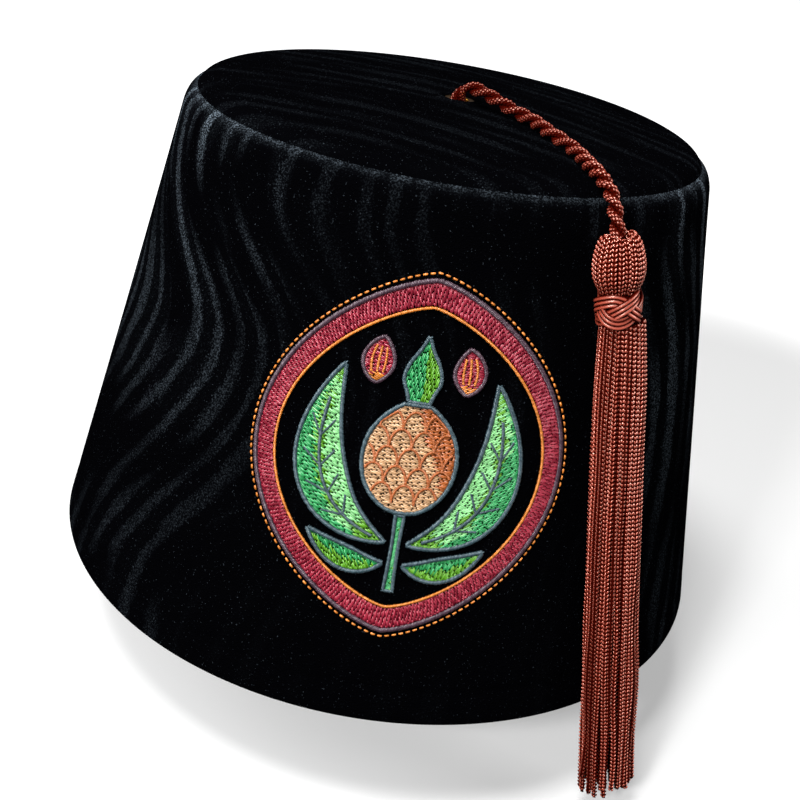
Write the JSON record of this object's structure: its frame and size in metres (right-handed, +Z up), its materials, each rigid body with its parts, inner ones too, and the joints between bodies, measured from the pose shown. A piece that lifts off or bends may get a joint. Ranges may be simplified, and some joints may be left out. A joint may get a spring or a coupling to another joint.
{
  "type": "velvet fez hat with a tassel and an embroidered medallion",
  "caption": "Tall round black velvet fez, hollow, with a rust tassel on a twisted cord from a brass eyelet in its top and an embroidered floral medallion on its front.",
  "frame": {"origin": "centre of the head opening, in the plane of the rim", "axes": "+Z up along the hat's axis, -Y towards the front with the medallion, +X towards the tassel's side"},
  "size_m": [0.19, 0.19, 0.1628],
  "materials": {
    "velvet": "black cotton velvet over stiffening, crushed in soft streaks",
    "rayon": "shiny rust rayon cord and fringe",
    "brass": "rolled brass",
    "maroon_stitch": "maroon satin stitch",
    "light_green_stitch": "light green stitched fill",
    "green_stitch": "mid green stitched fill",
    "tan_stitch": "tan stitched fill"
  },
  "bodies": {
    "root": {"crown_side": "velvet", "crown_top": "velvet", "eyelet": "brass", "tassel_cord": "rayon", "stop_knot": "rayon", "tassel_head": "rayon", "tassel_knot": "rayon", "tassel_skirt": "rayon", "badge_border": "maroon_stitch", "badge_leaf_right": "light_green_stitch", "badge_leaf_left": "light_green_stitch", "badge_low_leaf_right": "green_stitch", "badge_low_leaf_left": "green_stitch", "badge_bud_right": "maroon_stitch", "badge_bud_left": "maroon_stitch", "badge_fruit": "tan_stitch", "badge_calyx": "green_stitch", "badge_stem": "green_stitch"}
  },
  "joints": []
}
